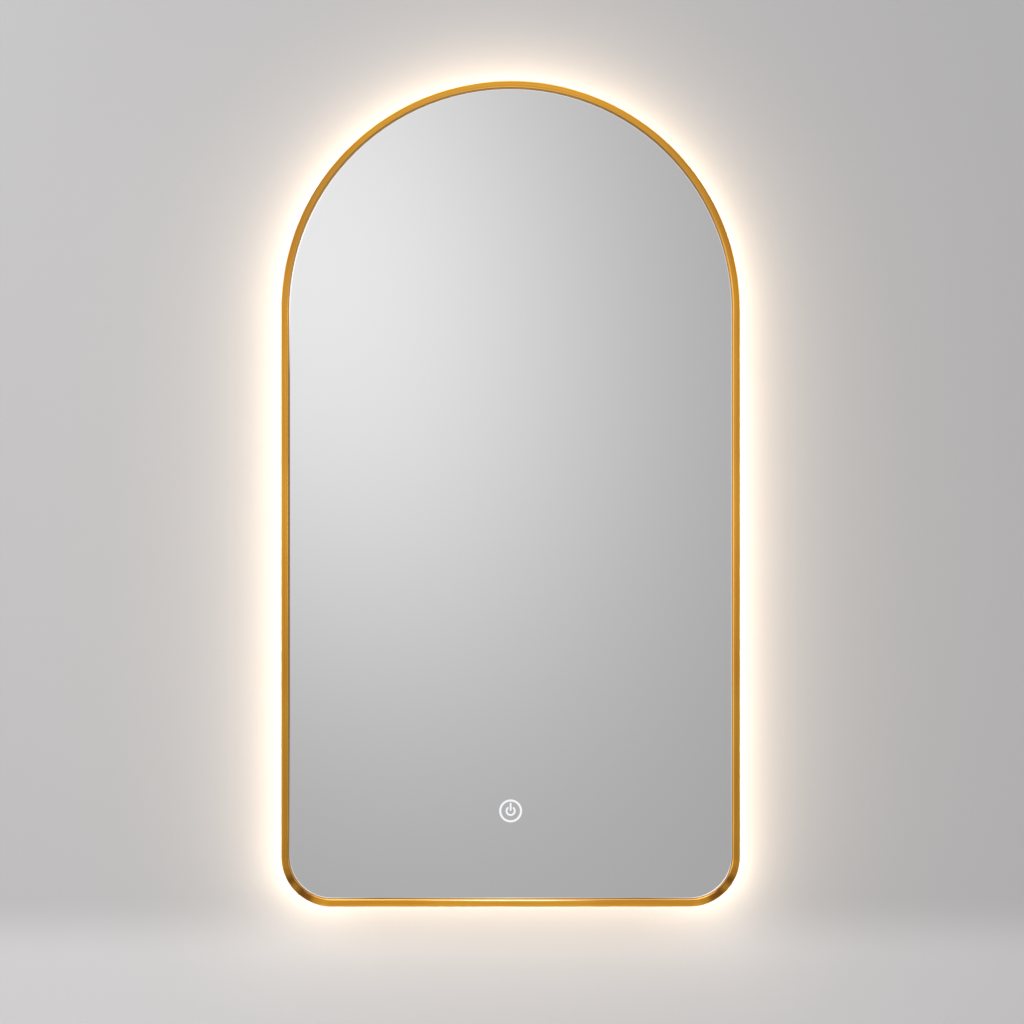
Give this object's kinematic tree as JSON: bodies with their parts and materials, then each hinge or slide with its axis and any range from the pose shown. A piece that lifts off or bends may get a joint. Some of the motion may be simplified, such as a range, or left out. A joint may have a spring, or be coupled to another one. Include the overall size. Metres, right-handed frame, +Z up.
{
  "type": "lighted bathroom mirror",
  "caption": "Arched wall mirror in a thin brushed-gold frame, with warm light behind its edge and a glowing touch switch, hung on a steel cleat.",
  "frame": {"origin": "middle of the wall bracket's line of screw holes, on the wall plane", "axes": "+Z up, +X to the right for someone facing the mirror, +Y into the wall"},
  "size_m": [0.5, 0.042, 0.8999],
  "materials": {
    "mirror_silver": "polished",
    "icon_white": "gloss",
    "brushed_gold": "satin",
    "box_aluminium": "satin",
    "panel_white": "satin",
    "galvanised_steel": "satin",
    "screw_steel": "satin",
    "opal_glow": "satin",
    "strip_white": "satin",
    "led_phosphor": "gloss",
    "foam_tape": "matte",
    "bumper_rubber": "matte",
    "abs_white": "matte",
    "abs_grey": "matte",
    "driver_white": "matte",
    "button_orange": "gloss",
    "tinned_brass": "satin",
    "board_green": "gloss",
    "component_black": "matte",
    "ferrite_yellow": "satin",
    "guide_clear": "polished",
    "wire_brown": "satin",
    "wire_green": "satin",
    "wire_white": "satin",
    "heating_foil": "satin"
  },
  "bodies": {
    "wall_bracket": {"wall_bracket": "galvanised_steel"},
    "mirror": {"mirror_glass": "mirror_silver", "touch_icon": "icon_white", "frame_channel": "brushed_gold", "frame_splice_bar": "box_aluminium", "splice_screws": "screw_steel", "frame_tape": "foam_tape", "box_tape": "foam_tape", "box_band": "box_aluminium", "opal_cover": "opal_glow", "led_strip": "strip_white", "led_chips": "led_phosphor", "tie_brackets": "galvanised_steel", "tie_screws": "screw_steel", "back_panel": "panel_white", "panel_screws": "screw_steel", "hanger_bar": "galvanised_steel", "hanger_rivets": "screw_steel", "wall_bumpers": "bumper_rubber", "wiring_box": "abs_white", "wiring_box_screws": "screw_steel", "cover_hinge_pin": "screw_steel", "inlet_grommet": "bumper_rubber", "cord_clamp": "abs_grey", "cord_clamp_screws": "screw_steel", "terminal_block": "abs_grey", "terminal_clamps": "tinned_brass", "driver_case": "driver_white", "driver_cover": "driver_white", "driver_board": "board_green", "driver_connectors": "abs_white", "driver_transformer": "ferrite_yellow", "driver_capacitors": "component_black", "driver_screws": "screw_steel", "sensor_case": "abs_white", "sensor_board": "board_green", "sensor_light_guide": "guide_clear", "sensor_connectors": "abs_white", "demister_pad": "heating_foil", "demister_terminal": "component_black", "mains_leads": "wire_brown", "earth_lead": "wire_green", "driver_lead": "wire_white", "strip_lead": "wire_white", "demister_lead": "wire_white", "lead_clips": "abs_white", "earth_tag": "tinned_brass", "earth_screw": "screw_steel"},
    "wiring_cover": {"wiring_cover": "abs_white"},
    "live_button": {"live_button": "button_orange"},
    "neutral_button": {"neutral_button": "button_orange"},
    "earth_button": {"earth_button": "button_orange"}
  },
  "joints": [
    {"name": "mirror_lift_off", "type": "slide", "parent": "wall_bracket", "child": "mirror", "axis": [0, 0, 1], "range_m": [0, 0.014]},
    {"name": "wiring_cover_hinge", "type": "hinge", "parent": "mirror", "child": "wiring_cover", "pos_m": [0, -0.006, -0.136], "axis": [1, 0, 0], "range_deg": [0, 105]},
    {"name": "live_button_push", "type": "slide", "parent": "mirror", "child": "live_button", "axis": [0, -1, 0], "range_m": [0, 0.0012], "stiffness_N_per_m": 800, "springref_m": -0.001},
    {"name": "neutral_button_push", "type": "slide", "parent": "mirror", "child": "neutral_button", "axis": [0, -1, 0], "range_m": [0, 0.0012], "stiffness_N_per_m": 800, "springref_m": -0.001},
    {"name": "earth_button_push", "type": "slide", "parent": "mirror", "child": "earth_button", "axis": [0, -1, 0], "range_m": [0, 0.0012], "stiffness_N_per_m": 800, "springref_m": -0.001}
  ]
}
